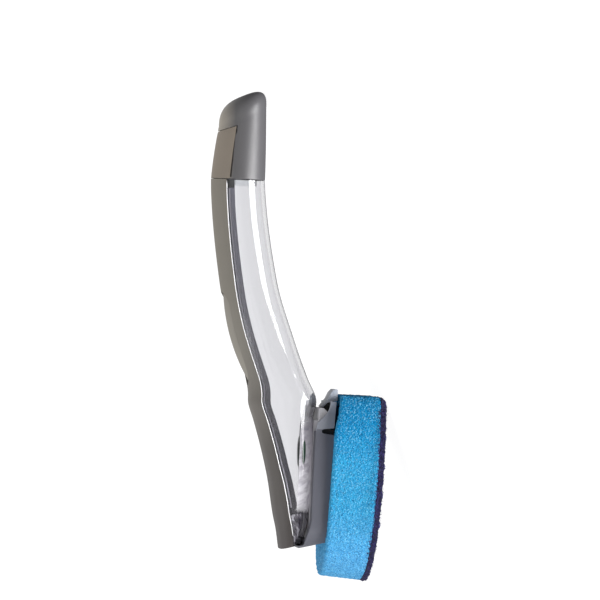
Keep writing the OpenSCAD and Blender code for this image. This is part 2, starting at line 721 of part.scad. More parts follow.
// Plan of the foam block: straight sides and a round toe, raked like its end face
module foam_plan() {
  w = foam_w / 2;
  r = foam_toe_r;
  corner = foam_heel_r;
  polygon(concat(
    [for (a = [0:15:90]) [w - corner + corner * cos(a), heel_z + 3 - corner + corner * sin(a)]],
    [for (a = [90:15:180]) [-w + corner + corner * cos(a), heel_z + 3 - corner + corner * sin(a)]],
    [for (a = [185:10:355]) [r * cos(a), toe_z + 1 + r + r * sin(a)]]
  ));
}
module in_foam_plan() {
  intersection() {
    children();
    translate([21, 0, 0]) rotate([0, toe_rake, 0]) translate([-21, 0, 0]) along_x(0, 60) foam_plan();
  }
}

// Ends of the heel's round edge, where the outer and the inner arc meet it
heel_a0 = asin((heel_cz - crown_z) / (face_r - heel_r));
heel_a1 = heel_a0 + acos((heel_r - pad_t) / heel_r);
heel_mid = [heel_cx + heel_r * cos(heel_a1), heel_cz + heel_r * sin(heel_a1)];
inner_a1 = atan2(heel_mid[1] - crown_z, heel_mid[0] - face_cx);
arc_n = 14;

module foam_block() {
  color("deepskyblue") place() difference() {
    in_foam_plan() across_y(foam_w + 2) polygon(concat(
      [[foam_back(heel_z), heel_z], [foam_back(-toe_drop), -toe_drop]],
      [for (i = [0:arc_n]) face_arc(pad_t, toe_face_a + (inner_a1 - toe_face_a) * i / arc_n)],
      [for (i = [1:4]) let(a = heel_a1 + (90 - heel_a1) * i / 4)
        [heel_cx + heel_r * cos(a), heel_cz + heel_r * sin(a)]]
    ));
    across_y(2 * plate_hw + 1.2) polygon([
      [0, hinge_z - 1], [foam_back(hinge_z) + 1, hinge_z - 1],
      [foam_back(heel_z) + 2.6, heel_z - 3], [foam_back(heel_z) + 2.6, heel_z + 9], [0, heel_z + 9]
    ]);
    across_y(2 * fin_hw + 4 * run_gap) polygon([
      [0, heel_z - 5], [foam_back(heel_z) + fin_out + fin_free, heel_z - 5],
      [foam_back(heel_z) + fin_out + fin_free, heel_z + 9], [0, heel_z + 9]
    ]);
  }
}

module scrub_pad() {
  color("indigo") place() in_foam_plan() across_y(foam_w + 2) polygon(concat(
    [for (i = [0:arc_n]) face_arc(0, toe_face_a + (heel_a0 - toe_face_a) * i / arc_n)],
    [for (i = [1:4]) let(a = heel_a0 + (heel_a1 - heel_a0) * i / 4)
      [heel_cx + heel_r * cos(a), heel_cz + heel_r * sin(a)]],
    [for (i = [arc_n - 1:-1:0]) face_arc(pad_t, toe_face_a + (inner_a1 - toe_face_a) * i / arc_n)]
  ));
}

// Raised dots in staggered rows, set back from the edges of the scrub face
dot_edge = dot_d / 2 + dot_margin;
dot_rise = dot_pitch * sqrt(0.75);
dot_rows = floor((heel_z - toe_z - 2 * dot_edge - heel_r) / dot_rise);
module scrub_dots() {
  n = ceil(foam_w / dot_pitch);
  color("midnightblue") place() for (i = [0:dot_rows]) {
    z = toe_z + dot_edge + pad_t + i * dot_rise;
    low = max(0, toe_z + 1 + foam_toe_r - z);
    side = low > 0 ? sqrt(max(0, pow(foam_toe_r - dot_edge, 2) - low * low)) : foam_w / 2 - dot_edge;
    for (k = [-n:n]) {
      y = (k + (i % 2) / 2) * dot_pitch;
      a = asin((z - crown_z) / face_r);
      if (abs(y) <= side) translate([face_cx + face_r * cos(a), y, z])
        rotate([0, 90 - a, 0]) cylinder(d = dot_d, h = dot_h, $fn = 16);
    }
  }
}

reservoir();
back_spine();
grip_overmold();
dispense_button();
pump_membrane();
button_frame();
neck_collar();
filler_cap();
cap_insert();
cap_grip_inlay();
cap_seal();
foot_rail();
outlet_nozzle();
slit_valve();
valve_retainer();
refill_base();
release_latch();
foam_block();
scrub_pad();
scrub_dots();
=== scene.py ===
import math
import random

import bmesh
import bpy
from mathutils import Matrix, Vector, noise


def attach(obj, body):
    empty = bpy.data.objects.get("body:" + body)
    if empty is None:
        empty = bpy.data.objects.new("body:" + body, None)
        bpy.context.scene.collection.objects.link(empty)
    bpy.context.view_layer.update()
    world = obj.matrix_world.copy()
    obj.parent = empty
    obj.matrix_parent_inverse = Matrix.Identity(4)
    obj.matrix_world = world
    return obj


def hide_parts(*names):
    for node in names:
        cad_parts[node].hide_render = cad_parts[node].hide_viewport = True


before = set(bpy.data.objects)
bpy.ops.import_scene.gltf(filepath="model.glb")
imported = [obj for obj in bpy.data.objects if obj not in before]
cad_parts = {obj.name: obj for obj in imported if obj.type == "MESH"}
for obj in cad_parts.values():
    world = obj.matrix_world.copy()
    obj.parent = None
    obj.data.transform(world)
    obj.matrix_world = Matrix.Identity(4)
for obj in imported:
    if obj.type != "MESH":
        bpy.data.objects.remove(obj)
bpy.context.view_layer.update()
scene = bpy.context.scene

# Wand frame
# The pieces are drawn in the wand's own frame in millimetres: X points from the
# handle to the scrub face, Y is lateral and Z runs from the toe to the cap.
METRE = 1000
TILT = math.radians(113.42234)
MID_X, LOW_Z = 106.39995, -66.245
CA, SA = math.cos(TILT), math.sin(TILT)
LAY = Matrix.Scale(1 / METRE, 4) @ Matrix((
    (CA, 0, SA, -MID_X),
    (0, 1, 0, 0),
    (-SA, 0, CA, -LOW_Z),
    (0, 0, 0, 1),
))


def row(x, y, z):
    """Point of the wand frame in the row frame, in metres."""
    return LAY @ Vector((x, y, z))


def row_dir(x, y, z):
    """Direction of the wand frame in the row frame."""
    return (LAY.to_3x3() @ Vector((x, y, z))).normalized()


# Sizes shared with the part, in millimetres
HANDLE_H, FACE_H = 197.2, 70.0
TOE_DEPTH = 16.7
WALL, SPINE_T, GRIP_WRAP, LAP = 2.2, 2.0, 6.5, 5.0
SPINE_OFF = WALL + 0.2
RUN = 0.3
FLOOR_Z = 20.0
BUTTON_Z, BUTTON_LEN, BUTTON_W, BUTTON_RISE = 111.5, 52.0, 17.0, 0.8
CROWN_R, CROWN_ACROSS, CROWN_DROP, SKIRT_X = 102.0, 16.5, 2.0, 5.5
CAP_H, CAP_TOP_D, CAP_TOP_W, CAP_EASE = 33.5, 25.2, 24.6, 1.4
CAP_X0, CAP_Z0, CAP_WALL, CAP_RIM_INSET = -45.7, 197.5, 1.6, 0.14
DOME_X, DOME_H, DOME_SLOPE, DOME_POWER = -44.8, 11.9, 0.45, 0.667
NECK_D, NECK_W = 29.2, 29.0
INLAY_WRAP, INLAY_T, INLAY_STEP = 9.0, 0.9, 1.0
FOAM_W, FOAM_TOE_R = 62.0, 27.0
HEEL_Z, HEEL_R, TOE_Z = 84.0, 3.5, -15.7
FACE_X, FACE_R, CROWN_Z = 37.7, 590.0, 52.0
FACE_CX = FACE_X - FACE_R
TOE_ARC_Z = TOE_Z + 1 + FOAM_TOE_R
PAD_T = 3.0
DOT_D, DOT_PITCH = 3.6, 9.0

# Sizes of the seen surfaces only, with levels as pairs
LAP_START, LAP_NARROW = (16, 22), (120, 180)
STRIP_OFF = WALL + 0.03
BEAD_Z, BEAD_DX, BEAD_OFF = (22, 192.2), (1.5, 2.2), WALL + 0.12
BLOCK_Z, BLOCK_DX, BLOCK_OFF = (192.6, 197.1), (0.5, 4.3), WALL + 0.13
EDGE_Z, EDGE_DX, EDGE_OFF, EDGE_R = (6, 196.6), 0.12, 0.10, 0.24
BACKING_Z, BACKING_HALF = (22, 66), 12.5
INLAY_F, INLAY_GAP, INLAY_SINK = (0.002, 0.89), 0.1, (0.05, 0.14)
ROOM, ROOM_Z, ROOM_X, ROOM_FADE = 1.2, (66, 74), 20, 8
WEB_INSET = 0.3
RIM_TOP = HEEL_Z - 6
GROUND_GAP = 0.2

# Counts of points and pieces
LEVELS_TOE, LEVELS_REST = 14, 120
SHELL_N, SPINE_N, DISC_N, CORE_N = 44, 36, 64, 72
CAP_N, INLAY_N, INLAY_ARC = 96, 18, 40
HALF_TURN = 24
DOT_SIDES, TUBE_SIDES = 20, 8
FIBRES = 2600

# Outline of the handle by level: z, front, depth, width, squareness and flat of the front
FRONT, DEPTH, WIDTH, SQUARE, FLAT = 1, 2, 3, 4, 5
STATIONS = [
    (0, -2.9, 11.2, 29, 3.2, 0.8),
    (14, 0, TOE_DEPTH, 32, 3.4, 0.8),
    (40, 0, 22.0, 37, 3.6, 0.8),
    (70, 0, 31.35, 38, 3.4, 0.8),
    (80, 1.7, 36.1, 37.4, 3, 0.4),
    (92, -3.3, 33.6, 35.8, 2.6, 0.2),
    (111.644, -11, 33.8, 33, 2.2, 0),
    (143.288, -22, 31.3, 31, 2.1, 0),
    (190.2, -30.5, 29.4, 29.3, 2, 0),
    (HANDLE_H, -31.1, NECK_D, NECK_W, 2, 0),
]
TOE_SLOPE = math.tan(math.radians(16))
TOE_LIFT = TOE_SLOPE * TOE_DEPTH * 0.8


def secant(c, i):
    a, b = STATIONS[i], STATIONS[i + 1]
    return (b[c] - a[c]) / (b[0] - a[0])


def tangent(c, i):
    if i == 0:
        return secant(c, 0)
    if i == len(STATIONS) - 1:
        return secant(c, i - 1)
    a, b = secant(c, i - 1), secant(c, i)
    return 0 if a * b <= 0 else 2 * a * b / (a + b)


def column(c, z):
    """Value of column c at level z, on a smooth curve through the stations."""
    i = max([k for k in range(len(STATIONS) - 1) if z >= STATIONS[k][0]] or [0])
    h = STATIONS[i + 1][0] - STATIONS[i][0]
    t = (z - STATIONS[i][0]) / h
    return ((2 * t**3 - 3 * t * t + 1) * STATIONS[i][c] + (t**3 - 2 * t * t + t) * h * tangent(c, i)
            + (3 * t * t - 2 * t**3) * STATIONS[i + 1][c] + (t**3 - t * t) * h * tangent(c, i + 1))


def front(z):
    return column(FRONT, z)


def depth(z):
    return column(DEPTH, z)


def back(z):
    return front(z) - depth(z)


def lift(z, x):
    """Rise of a level's points towards the front, which slants the toe."""
    return max(0, 1 - z / FACE_H) * (TOE_LIFT + TOE_SLOPE * x)


def outline_point(z, off, t):
    """Point of the handle's outline at level z and angle t, set in by off."""
    d, w, q = depth(z) / 2 - off, column(WIDTH, z) / 2 - off, 2 / column(SQUARE, z)
    c, s = math.cos(t), math.sin(t)
    reach = min(d, (d + column(FLAT, z)) * abs(c) ** q) if c > 0 else -d * abs(c) ** q
    x = front(z) - depth(z) / 2 + reach
    return (x, math.copysign(w * abs(s) ** q, s), z + lift(z, x))


def angle_at(z, off, dx):
    """Angle of the outline's point that lies dx in front of the back."""
    u, d, q = depth(z) / 2 - dx, depth(z) / 2 - off, column(SQUARE, z) / 2
    if u >= 0:
        return math.pi - math.acos(min(1, u / d) ** q)
    return math.acos(min(1, -u / (d + column(FLAT, z))) ** q)


def arc(z, off, a, b, n):
    return [outline_point(z, off, a + (b - a) * i / n) for i in range(n + 1)]


def full_ring(z, off, n):
    return arc(z, off, 0, 2 * math.pi * (n - 1) / n, n - 1)


def front_ring(z, off, off2, dx, n):
    """Section of a shell round the front, down to dx from the back."""
    a, b = angle_at(z, off, dx), angle_at(z, off2, dx)
    return arc(z, off, -a, a, n) + arc(z, off2, b, -b, n)


def back_ring(z, off, off2, dx, n):
    """Section of a shell round the back, up to dx from the back."""
    least = math.radians(15)
    a, b = max(least, angle_at(z, off, dx)), max(least, angle_at(z, off2, dx))
    return arc(z, off, a, 2 * math.pi - a, n) + arc(z, off2, 2 * math.pi - b, b, n)


def levels(lo, hi, n):
    return [lo + (hi - lo) * i / n for i in range(n + 1)]


def between(v, a, b):
    """0 up to a, 1 from b on and even between them."""
    return min(1, max(0, (v - a) / (b - a)))


# Seen split between the grip and the clear shell, shifted by level: z, shift
SPLIT_SHIFT = ((0, 0), (25, 0), (45, -1.2), (80, -1.1), (110, 0), (145, 0.5), (190, 0.8), (HANDLE_H, 0.8))


def wrap(z):
    """Depth of the grip's side at level z."""
    for (a, u), (b, v) in zip(SPLIT_SHIFT, SPLIT_SHIFT[1:]):
        if a <= z <= b:
            return GRIP_WRAP + u + (v - u) * (z - a) / (b - a)
    return GRIP_WRAP


def lap(z):
    """Lap of the spine inside the clear shell, drawn back below the chamber's floor."""
    return LAP * max(0.1, between(z, *LAP_START)) - 0.5 * between(z, *LAP_NARROW)


# Mesh helpers, with angles in degrees
WELD, FLAT_ANGLE, BEVEL_ANGLE, SMOOTH_ANGLE = 2e-6, 1.2, 28, 40


def new_object(name, data):
    obj = bpy.data.objects.new(name, data)
    scene.collection.objects.link(obj)
    return obj


def from_points(name, points, faces, sharp=38):
    mesh = bpy.data.meshes.new(name)
    mesh.from_pydata([row(*p) for p in points], [], faces)
    return finish_mesh(new_object(name, mesh), sharp)


def finish_mesh(obj, sharp):
    """Face normals outwards and shading smooth, except over edges above the sharp angle."""
    bm = bmesh.new()
    bm.from_mesh(obj.data)
    bmesh.ops.recalc_face_normals(bm, faces=bm.faces)
    bm.to_mesh(obj.data)
    bm.free()
    obj.data.shade_smooth()
    obj.data.set_sharp_from_angle(angle=math.radians(sharp))
    return obj


def wall_faces(n, m, first=0):
    """Quads between m rings of n points, whose first point has that number."""
    faces = []
    for a in range(first, first + (m - 1) * n, n):
        for j in range(n):
            k = (j + 1) % n
            faces.append((a + j, a + k, a + n + k, a + n + j))
    return faces


def shell(name, rings):
    """Skin through shell sections, whose ends are strips between both lines."""
    n, m = len(rings[0]), len(rings)
    faces = wall_faces(n, m)
    for j in range(n // 2 - 1):
        quad = (j, j + 1, n - 2 - j, n - 1 - j)
        faces.append(tuple(reversed(quad)))
        faces.append(tuple((m - 1) * n + k for k in quad))
    return from_points(name, [p for r in rings for p in r], faces)


def loft(name, rings, sharp=38):
    """Skin through closed rings, with fans at both ends."""
    n, m = len(rings[0]), len(rings)
    points = [p for r in rings for p in r]
    faces = wall_faces(n, m)
    for ring, base, turn in ((rings[0], 0, True), (rings[-1], (m - 1) * n, False)):
        points.append(tuple(sum(p[k] for p in ring) / n for k in range(3)))
        hub = len(points) - 1
        for j in range(n):
            a, b = base + j, base + (j + 1) % n
            faces.append((hub, b, a) if turn else (hub, a, b))
    return from_points(name, points, faces, sharp)


def tube(name, path, radius):
    """Round strip along a list of points in the wand frame, thin at its ends."""
    rings = []
    pts = [Vector(p) for p in path]
    side = None
    for i, p in enumerate(pts):
        t = (pts[min(i + 1, len(pts) - 1)] - pts[max(i - 1, 0)]).normalized()
        side = side or t.orthogonal().normalized()
        side = (side - side.dot(t) * t).normalized()
        up = t.cross(side)
        r = radius * (0.35 if i in (0, len(pts) - 1) else 1)
        rings.append([tuple(p + side * (r * math.cos(a)) + up * (r * math.sin(a)))
                      for a in (2 * math.pi * k / TUBE_SIDES for k in range(TUBE_SIDES))])
    return loft(name, rings, 60)


def plate(name, side_view, y0, y1):
    """Flat plate with a side view in x and z, from y0 to y1."""
    n = len(side_view)
    points = [(x, y, z) for y in (y0, y1) for x, z in side_view]
    return from_points(name, points, wall_faces(n, 2) + [tuple(range(n)), tuple(range(2 * n - 1, n - 1, -1))])


def cad_copy(name, node, bevel):
    """Copy of a CAD node's mesh with its flat faces joined and its edges rounded."""
    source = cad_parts[node]
    mesh = source.data.copy()
    mesh.transform(source.matrix_world)
    mesh.materials.clear()
    obj = new_object(name, mesh)
    bm = bmesh.new()
    bm.from_mesh(mesh)
    bmesh.ops.remove_doubles(bm, verts=bm.verts, dist=WELD)
    bmesh.ops.dissolve_limit(bm, angle_limit=math.radians(FLAT_ANGLE), verts=bm.verts, edges=bm.edges)
    bmesh.ops.recalc_face_normals(bm, faces=bm.faces)
    bm.to_mesh(mesh)
    bm.free()
    mod = obj.modifiers.new("Bevel", "BEVEL")
    mod.width = bevel / METRE
    mod.segments = 3
    mod.limit_method = "ANGLE"
    mod.angle_limit = math.radians(BEVEL_ANGLE)
    mod.use_clamp_overlap = True
    apply_modifiers(obj)
    obj.data.shade_smooth()
    obj.data.set_sharp_from_angle(angle=math.radians(SMOOTH_ANGLE))
    return obj


def soft_copy(name, node, bevel, voxel, rough, scale, seed):
    """CAD solid with rounded edges and an uneven surface, for foam and felt."""
    obj = cad_copy(name, node, bevel)
    mod = obj.modifiers.new("Voxels", "REMESH")
    mod.mode = "VOXEL"
    mod.voxel_size = voxel / METRE
    mod.use_smooth_shade = True
    smooth = obj.modifiers.new("Smooth", "SMOOTH")
    smooth.iterations = 2
    apply_modifiers(obj)
    mesh = obj.data
    shift = Vector((seed, 2 * seed, 3 * seed))
    normals = [v.normal.copy() for v in mesh.vertices]
    for v, n in zip(mesh.vertices, normals):
        p = v.co * scale + shift
        v.co += n * (rough / METRE) * (noise.noise(p) + 0.6 * noise.noise(p * 2.3))
    mesh.shade_smooth()
    return obj


def apply_modifiers(obj):
    graph = bpy.context.evaluated_depsgraph_get()
    mesh = bpy.data.meshes.new_from_object(obj.evaluated_get(graph))
    obj.modifiers.clear()
    old, obj.data = obj.data, mesh
    bpy.data.meshes.remove(old)


def cut(obj, cutter):
    mod = obj.modifiers.new("Cut", "BOOLEAN")
    mod.operation = "DIFFERENCE"
    mod.solver = "EXACT"
    mod.object = cutter
    apply_modifiers(obj)
    bpy.data.objects.remove(cutter)


def place(obj, body, material, slot, *nodes):
    """Give a piece its material and body, and hide the CAD nodes it replaces. The slot is not used."""
    obj.data.materials.clear()
    obj.data.materials.append(material)
    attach(obj, body)
    if nodes:
        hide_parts(*nodes)


# Materials
def srgb(r, g, b):
    def one(v):
        v /= 255
        return v / 12.92 if v <= 0.04045 else ((v + 0.055) / 1.055) ** 2.4
    return (one(r), one(g), one(b), 1)


def grey(v):
    return (v, v, v, 1)


def shade(color, k):
    return (min(1, color[0] * k), min(1, color[1] * k), min(1, color[2] * k), 1)


BLACK, WHITE = grey(0), grey(1)


class Shader:
    """Principled material whose nodes are added by short calls."""

    def __init__(self, name, color, rough, **values):
        self.mat = bpy.data.materials.new(name)
        self.mat.use_nodes = True
        self.nodes, self.links = self.mat.node_tree.nodes, self.mat.node_tree.links
        self.bsdf = self.nodes["Principled BSDF"]
        self.bsdf.inputs["Base Color"].default_value = color
        self.bsdf.inputs["Roughness"].default_value = rough
        for key, value in values.items():
            self.bsdf.inputs[key.replace("_", " ")].default_value = value
        self.coords = self.nodes.new("ShaderNodeTexCoord").outputs
        self.coord = self.coords["Object"]

    def node(self, kind, links=None, **values):
        n = self.nodes.new("ShaderNode" + kind)
        for key, value in values.items():
            if hasattr(n, key):
                setattr(n, key, value)
            else:
                n.inputs[key.replace("_", " ")].default_value = value
        for key, source in (links or {}).items():
            self.links.new(source, n.inputs[key])
        return n

    def set(self, key, source):
        self.links.new(source, self.bsdf.inputs[key])

    def math(self, operation, *sources):
        return self.node("Math", dict(enumerate(sources)), operation=operation).outputs[0]

    def noise(self, scale, detail=3.0, rough=0.5, stretch=None):
        vector = self.coord
        if stretch:
            vector = self.node("Mapping", {"Vector": vector}, Scale=stretch).outputs[0]
        return self.node("TexNoise", {"Vector": vector}, Scale=scale, Detail=detail,
                         Roughness=rough).outputs["Fac"]

    def cells(self, scale):
        return self.node("TexVoronoi", {"Vector": self.coord}, Scale=scale).outputs["Distance"]

    def slope(self, a, b):
        """0 at point a of the wand frame and 1 at point b."""
        start = row(*a)
        way = row(*b) - start
        off = self.node("VectorMath", {0: self.coord}, operation="SUBTRACT")
        off.inputs[1].default_value = start
        share = self.node("VectorMath", {0: off.outputs[0]}, operation="DOT_PRODUCT")
        share.inputs[1].default_value = way / way.length_squared
        return share.outputs["Value"]

    def oval(self, centre, rx, rz):
        """0 at the centre and 1 at the rim of an oval in x and z."""
        x, y, z = centre
        across, along = self.slope(centre, (x + rx, y, z)), self.slope(centre, (x, y, z + rz))
        squares = self.math("MULTIPLY", across, across), self.math("MULTIPLY", along, along)
        return self.math("SQRT", self.math("ADD", *squares))

    def flank(self):
        """1 on the outer side walls, 0 on faces that look forward, back or inwards."""
        normal = self.node("SeparateXYZ", {0: self.coords["Normal"]}).outputs["Y"]
        lateral = self.node("SeparateXYZ", {0: self.coord}).outputs["Y"]
        outwards = self.node("MapRange", {0: self.math("MULTIPLY", normal, lateral)}, From_Max=0.018)
        return self.ramp(outwards.outputs[0], [(0.02, BLACK), (0.16, WHITE)])

    def ramp(self, fac, stops):
        n = self.node("ValToRGB", {"Fac": fac})
        band = n.color_ramp
        while len(band.elements) < len(stops):
            band.elements.new(0.5)
        for e, (pos, color) in zip(band.elements, stops):
            e.position, e.color = pos, color
        return n.outputs["Color"]

    def mix(self, fac, a, b, blend="MIX"):
        n = self.node("Mix", data_type="RGBA", blend_type=blend)
        for socket, value in ((n.inputs[0], fac), (n.inputs[6], a), (n.inputs[7], b)):
            if hasattr(value, "links"):
                self.links.new(value, socket)
            else:
                socket.default_value = value
        return n.outputs[2]

    def times(self, a, b):
        return self.mix(1.0, a, b, "MULTIPLY")

    def rough(self, fac, lo, hi):
        self.set("Roughness", self.node("MapRange", {"Value": fac}, To_Min=lo, To_Max=hi).outputs[0])

    def bump(self, height, strength, distance, below=None):
        n = self.node("Bump", {"Height": height}, Strength=strength, Distance=distance)
        if below is not None:
            self.links.new(below, n.inputs["Normal"])
        self.set("Normal", n.outputs[0])
        return n.outputs[0]


def moulded(name, color, rough, vary=0.10, grain=0.00004, drift=None, **values):
    """Moulded plastic or rubber: slow colour drift, fine grain, uneven gloss, and a colour ramp along a line
    when one is given, which for some pieces is painted shade and light.
    """
    s = Shader(name, color, rough, **values)
    slow, fine = s.noise(28, 2), s.noise(2600, 2)
    if drift:
        start, end, stops = drift
        mottle = s.ramp(slow, [(0.35, grey(1 - vary)), (0.65, WHITE)])
        s.set("Base Color", s.times(s.ramp(s.slope(start, end), stops), mottle))
    else:
        s.set("Base Color", s.ramp(slow, [(0.35, shade(color, 1 - vary)), (0.65, shade(color, 1 + vary))]))
    s.rough(s.noise(90, 3), rough - 0.05, rough + 0.06)
    s.bump(fine, 0.35, grain)
    return s.mat


def clear(name, tint, edge, rough=0.03, foot_walls_and_glow=None):
    """Clear moulded plastic: tinted slightly, with painted shade that darkens it where it is seen on edge."""
    s = Shader(name, tint, rough, Transmission_Weight=1.0, IOR=1.49, Specular_IOR_Level=0.3)
    facing = s.node("LayerWeight", Blend=0.32).outputs["Facing"]
    drift = s.mix(s.noise(14, 2, stretch=(0.4, 1, 1)), shade(tint, 0.985), shade(tint, 1.01))
    # Painted shade: the edge colour where the surface is seen on edge.
    tint_and_edge_shade = s.mix(s.ramp(facing, [(0.45, BLACK), (0.96, WHITE)]), drift, edge)
    s.set("Base Color", foot_walls_and_glow(s, tint_and_edge_shade) if foot_walls_and_glow else tint_and_edge_shade)
    s.bump(s.noise(55, 2), 0.12, 0.00015)
    return s.mat


# Pale side walls of the foot in the clear shell: where they start in x, and their levels
PALE_X, PALE_FADE, PALE_Z = -7.5, 0.5, (20, 72)
# Painted shade: the walls' tones darken from the back towards the front.
PALE_SHADE_TONES = [(0.0, srgb(222, 221, 226)), (0.45, srgb(208, 206, 212)), (0.75, srgb(178, 176, 182)),
              (1.0, srgb(150, 148, 155))]
# Oval of the valve that shows through them: centre and radii in x and z
SPOT = ((-5.0, 0, 52.5), 1.1, 7.3)


def pale_foot(s, tint_and_edge_shade):
    """Milky, streaked side walls at the foot's front, with the dark oval of the valve. The walls glow by
    emission as painted light, with painted shade darker towards the front and upwards.
    """
    ahead = s.ramp(s.slope((PALE_X, 0, 0), (PALE_X + PALE_FADE, 0, 0)), [(0.0, BLACK), (1.0, WHITE)])
    height = s.ramp(s.slope((0, 0, PALE_Z[0]), (0, 0, PALE_Z[1])),
                    [(0.0, BLACK), (0.1, WHITE), (0.86, WHITE), (1.0, BLACK)])
    milk = s.times(s.times(ahead, height), s.flank())
    across = s.ramp(s.slope((PALE_X, 0, 0), (0, 0, 0)), PALE_SHADE_TONES)
    # Painted shade: darker upwards.
    upward_shade = s.ramp(s.slope((0, 0, 36), (0, 0, 66)),
                 [(0.0, WHITE), (0.5, (0.72, 0.71, 0.73, 1)), (1.0, (0.50, 0.49, 0.52, 1))])
    streaks = s.ramp(s.noise(300, 3, 0.6, (1, 1, 0.12)), [(0.38, (0.66, 0.65, 0.68, 1)), (0.55, WHITE)])
    reach = s.oval(*SPOT)
    spot = s.ramp(reach, [(0.8, WHITE), (1.0, BLACK)])
    inside = s.ramp(reach, [(0.75, srgb(38, 62, 52)), (1.0, BLACK)])
    painted_glow = s.mix(spot, s.times(s.times(across, upward_shade), streaks), inside)
    # The walls glow though they are no lamp: painted light.
    s.set("Emission Color", painted_glow)
    s.set("Emission Strength", s.ramp(milk, [(0.0, BLACK), (1.0, grey(0.65))]))
    s.set("Transmission Weight", s.ramp(milk, [(0.0, WHITE), (1.0, grey(0.12))]))
    return s.mix(milk, tint_and_edge_shade, s.times(painted_glow, grey(0.5)))


def toe_material():
    """Crumpled core that shows through the clear toe as dark and bright slivers; the bright slivers are
    painted glints, and the core glows faintly as painted light.
    """
    s = Shader("toe_core", srgb(100, 96, 106), 0.24)
    streaks = s.noise(260, 1.5, 0.5, (1, 1, 1.8))
    # Painted highlights: the pale stops are glints.
    tone_and_glints = s.ramp(streaks, [
        (0.28, srgb(54, 50, 60)), (0.42, srgb(104, 100, 110)), (0.53, srgb(134, 130, 140)),
        (0.57, srgb(226, 224, 232)), (0.62, srgb(196, 194, 202)), (0.66, srgb(118, 114, 124))])
    s.set("Base Color", tone_and_glints)
    # The core glows by its own colour: painted light.
    s.set("Emission Color", tone_and_glints)
    s.bsdf.inputs["Emission Strength"].default_value = 0.3
    s.bump(streaks, 0.9, 0.0012)
    return s.mat


def foam_material():
    """Open-cell foam: dark pores painted as shade in the cells, pale flecks, and painted light and shade:
    brighter towards the toe, darker at the heel, and darker on its back face next to the plate.
    """
    s = Shader("open_cell_foam", srgb(58, 164, 214), 0.92, Subsurface_Weight=0.10, Subsurface_Scale=0.002,
               Specular_IOR_Level=0.12)
    s.bsdf.inputs["Subsurface Radius"].default_value = (0.4, 0.8, 1.0)
    cells, small = s.cells(950), s.cells(1900)
    # Painted light and shade: dark at the heel, brighter towards the toe.
    drift = s.ramp(s.slope((20, 0, 82), (20, 0, -14)), [
        (0.0, srgb(8, 106, 150)), (0.16, srgb(10, 120, 168)), (0.36, srgb(44, 143, 188)),
        (0.6, srgb(50, 146, 190)), (0.9, srgb(80, 156, 205)), (1.0, srgb(82, 158, 207))])
    # Painted shade on the back face, next to the plate.
    rear_shade = s.ramp(s.slope((7.6, 0, 0), (10.5, 0, 0)), [(0.0, (0.50, 0.58, 0.60, 1)), (1.0, WHITE)])
    mottle = s.ramp(s.noise(260, 3, 0.6), [(0.3, (0.74, 0.82, 0.87, 1)), (0.7, WHITE)])
    body = s.times(s.times(drift, rear_shade), mottle)
    # Painted shade in the pores and pits.
    pore_shade = s.times(body, (0.42, 0.64, 0.76, 1))
    pores = s.mix(s.ramp(cells, [(0.12, WHITE), (0.44, BLACK)]), body, pore_shade)
    flecks = s.ramp(s.noise(1350, 2, 0.6), [(0.52, BLACK), (0.66, grey(0.36))])
    pits = s.ramp(small, [(0.05, grey(0.6)), (0.22, BLACK)])
    s.set("Base Color", s.mix(pits, s.mix(flecks, pores, srgb(140, 204, 234)), pore_shade))
    s.bump(s.noise(1500, 2, 0.7), 0.5, 0.0004, s.bump(cells, 0.8, 0.0008))
    return s.mat


def scrub_material():
    """Nonwoven web: crossed dark strands."""
    s = Shader("scrub_web", srgb(26, 22, 84), 0.8)
    strands, cross = s.noise(900, 4, 0.75, (1, 2.6, 1)), s.noise(700, 4, 0.75, (2.4, 1, 2.4))
    s.set("Base Color", s.ramp(strands, [(0.34, srgb(5, 3, 26)), (0.55, srgb(17, 10, 64)),
                                         (0.74, srgb(58, 38, 124))]))
    s.bump(cross, 0.9, 0.0007, s.bump(strands, 0.9, 0.0007))
    return s.mat


# Colours that drift along a line of the wand: start, end and stops. The grip and the spine darken
# towards the toe as painted shade, the latch lightens towards its fin as painted light,
# and the cap runs from its warm back to its grey front.
GRIP_PAINTED_SHADE = ((-50, 0, 197), (-20, 0, 0), [
    (0.0, srgb(106, 101, 92)), (0.45, srgb(102, 98, 90)), (0.6, srgb(88, 84, 79)),
    (0.74, srgb(65, 61, 57)), (1.0, srgb(57, 52, 51))])
# Painted shade: the spine darkens towards the toe.
SPINE_PAINTED_SHADE = ((-45, 0, 197), (-15, 0, 0), [
    (0.0, srgb(122, 122, 138)), (0.42, srgb(124, 122, 131)), (0.6, srgb(92, 90, 99)),
    (0.75, srgb(64, 62, 74)), (1.0, srgb(72, 68, 78))])
CAP_DRIFT = ((-61, 0, 215), (-38, 0, 215), [
    (0.0, srgb(142, 134, 120)), (0.3, srgb(118, 113, 106)), (0.5, srgb(77, 76, 77)), (1.0, srgb(92, 91, 94))])
# Painted light: the latch lightens towards the top of its fin, which lies in shade between the foam and the
# cheeks.
LATCH_PAINTED_LIGHT = ((0, 0, 74), (0, 0, 84), [
    (0.0, srgb(114, 117, 126)), (0.4, srgb(136, 140, 151)), (1.0, srgb(176, 182, 194))])

